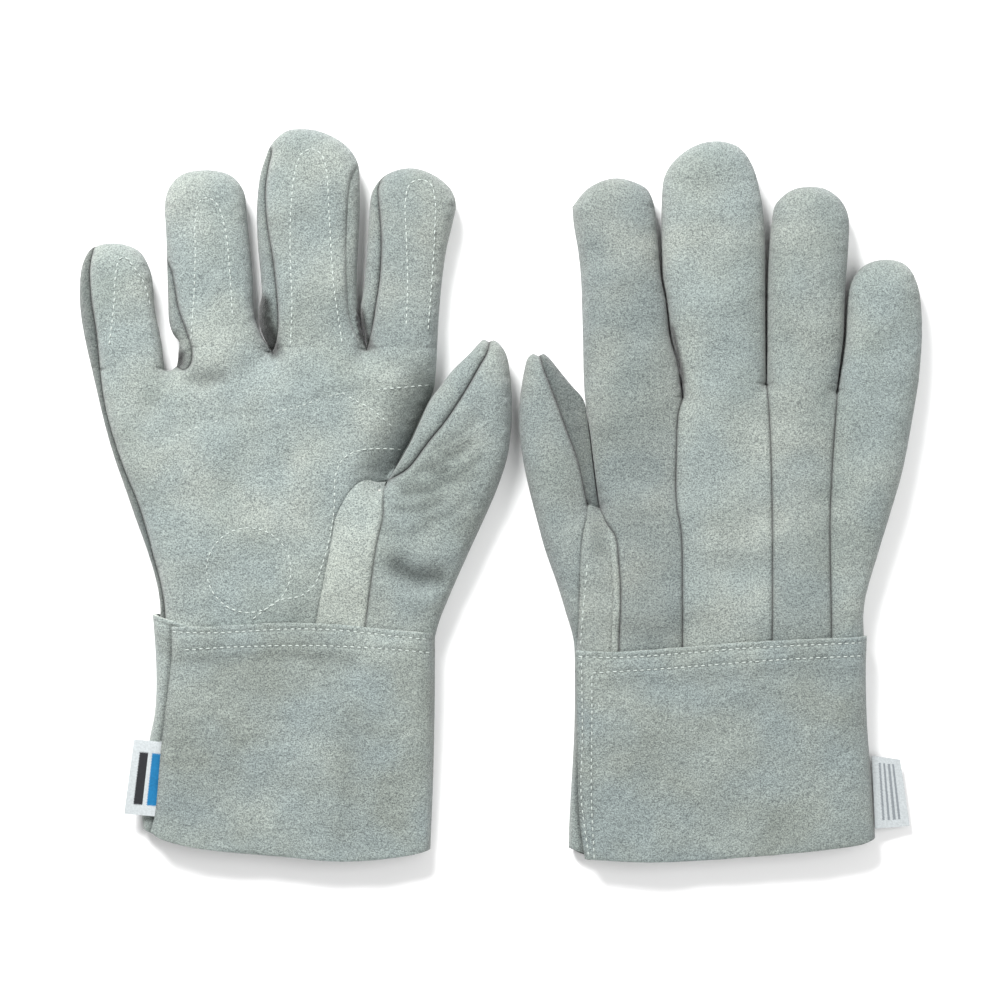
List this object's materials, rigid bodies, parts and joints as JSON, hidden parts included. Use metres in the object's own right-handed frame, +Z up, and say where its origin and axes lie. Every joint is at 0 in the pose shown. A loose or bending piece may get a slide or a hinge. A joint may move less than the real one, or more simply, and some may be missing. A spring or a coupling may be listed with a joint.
{
  "type": "pair of welding gloves",
  "caption": "Pair of leather five-finger welding gloves with gauntlet cuffs, lying flat side by side, one palm up and one palm down, with folding fingers and thumbs.",
  "frame": {"origin": "middle of the pair's footprint, on the surface it lies on", "axes": "+Z up from that surface, +Y from the cuffs to the fingertips, +X across the pair from the palm-up glove to the palm-down one"},
  "size_m": [0.3326, 0.2896, 0.0192],
  "materials": {
    "split_leather": "napped suede",
    "cuff_leather": "napped suede",
    "trim_leather": "napped suede",
    "fleece_lining": "brushed cotton fleece",
    "woven_label": "satin weave"
  },
  "bodies": {
    "upturned_hand": {"upturned_back_index": "split_leather", "upturned_back_little": "split_leather", "upturned_back_middle": "split_leather", "upturned_back_ring": "split_leather", "upturned_cuff_back_side": "cuff_leather", "upturned_cuff_palm_side": "cuff_leather", "upturned_hand_lining": "fleece_lining", "upturned_label": "woven_label", "upturned_palm": "split_leather", "upturned_saddle_strip": "trim_leather"},
    "upturned_little": {"upturned_little_back": "split_leather", "upturned_little_front": "split_leather", "upturned_little_lining": "fleece_lining", "upturned_little_sides": "split_leather"},
    "upturned_ring": {"upturned_ring_back": "split_leather", "upturned_ring_front": "split_leather", "upturned_ring_lining": "fleece_lining", "upturned_ring_sides": "split_leather"},
    "upturned_middle": {"upturned_middle_back": "split_leather", "upturned_middle_front": "split_leather", "upturned_middle_lining": "fleece_lining", "upturned_middle_sides": "split_leather"},
    "upturned_index": {"upturned_index_back": "split_leather", "upturned_index_front": "split_leather", "upturned_index_lining": "fleece_lining", "upturned_index_sides": "split_leather"},
    "upturned_thumb": {"upturned_thumb_back": "split_leather", "upturned_thumb_front": "split_leather", "upturned_thumb_lining": "fleece_lining"},
    "downturned_index": {"downturned_index_back": "split_leather", "downturned_index_front": "split_leather", "downturned_index_lining": "fleece_lining", "downturned_index_sides": "split_leather"},
    "downturned_middle": {"downturned_middle_back": "split_leather", "downturned_middle_front": "split_leather", "downturned_middle_lining": "fleece_lining", "downturned_middle_sides": "split_leather"},
    "downturned_ring": {"downturned_ring_back": "split_leather", "downturned_ring_front": "split_leather", "downturned_ring_lining": "fleece_lining", "downturned_ring_sides": "split_leather"},
    "downturned_little": {"downturned_little_back": "split_leather", "downturned_little_front": "split_leather", "downturned_little_lining": "fleece_lining", "downturned_little_sides": "split_leather"},
    "downturned_thumb": {"downturned_thumb_back": "split_leather", "downturned_thumb_front": "split_leather", "downturned_thumb_lining": "fleece_lining"},
    "downturned_hand": {"downturned_back_index": "split_leather", "downturned_back_little": "split_leather", "downturned_back_middle": "split_leather", "downturned_back_ring": "split_leather", "downturned_cuff_back_side": "cuff_leather", "downturned_cuff_palm_side": "cuff_leather", "downturned_hand_lining": "fleece_lining", "downturned_label": "woven_label", "downturned_palm": "split_leather", "downturned_saddle_strip": "trim_leather", "downturned_thumb_welt": "trim_leather"}
  },
  "joints": [
    {"name": "upturned_little_fold", "type": "hinge", "parent": "upturned_hand", "child": "upturned_little", "pos_m": [-0.14725, 0.0435, 0.018], "axis": [1, 0, 0], "range_deg": [0, 75]},
    {"name": "upturned_ring_fold", "type": "hinge", "parent": "upturned_hand", "child": "upturned_ring", "pos_m": [-0.10975, 0.0475, 0.018], "axis": [1, 0, 0], "range_deg": [0, 75]},
    {"name": "upturned_middle_fold", "type": "hinge", "parent": "upturned_hand", "child": "upturned_middle", "pos_m": [-0.0715, 0.0535, 0.018], "axis": [1, 0, 0], "range_deg": [0, 75]},
    {"name": "upturned_index_fold", "type": "hinge", "parent": "upturned_hand", "child": "upturned_index", "pos_m": [-0.03965, 0.0535, 0.018], "axis": [1, 0, 0], "range_deg": [0, 75]},
    {"name": "upturned_thumb_fold", "type": "hinge", "parent": "upturned_hand", "child": "upturned_thumb", "pos_m": [-0.02875, -0.00775, 0.018], "axis": [0.7634, -0.6459, 0], "range_deg": [0, 55]},
    {"name": "downturned_lift", "type": "slide", "parent": "upturned_hand", "child": "downturned_hand", "axis": [0, 0, 1], "range_m": [0, 0.15]},
    {"name": "downturned_index_fold", "type": "hinge", "parent": "downturned_hand", "child": "downturned_index", "pos_m": [0.0515, 0.04, 0.018], "axis": [1, 0, 0], "range_deg": [0, 30]},
    {"name": "downturned_middle_fold", "type": "hinge", "parent": "downturned_hand", "child": "downturned_middle", "pos_m": [0.0882, 0.0435, 0.018], "axis": [1, 0, 0], "range_deg": [0, 30]},
    {"name": "downturned_ring_fold", "type": "hinge", "parent": "downturned_hand", "child": "downturned_ring", "pos_m": [0.119, 0.0415, 0.018], "axis": [1, 0, 0], "range_deg": [0, 30]},
    {"name": "downturned_little_fold", "type": "hinge", "parent": "downturned_hand", "child": "downturned_little", "pos_m": [0.14845, 0.0355, 0.018], "axis": [1, 0, 0], "range_deg": [0, 30]},
    {"name": "downturned_thumb_fold", "type": "hinge", "parent": "downturned_hand", "child": "downturned_thumb", "pos_m": [0.0261, -0.01235, 0.018], "axis": [0.7293, 0.6842, 0], "range_deg": [0, 30]}
  ]
}
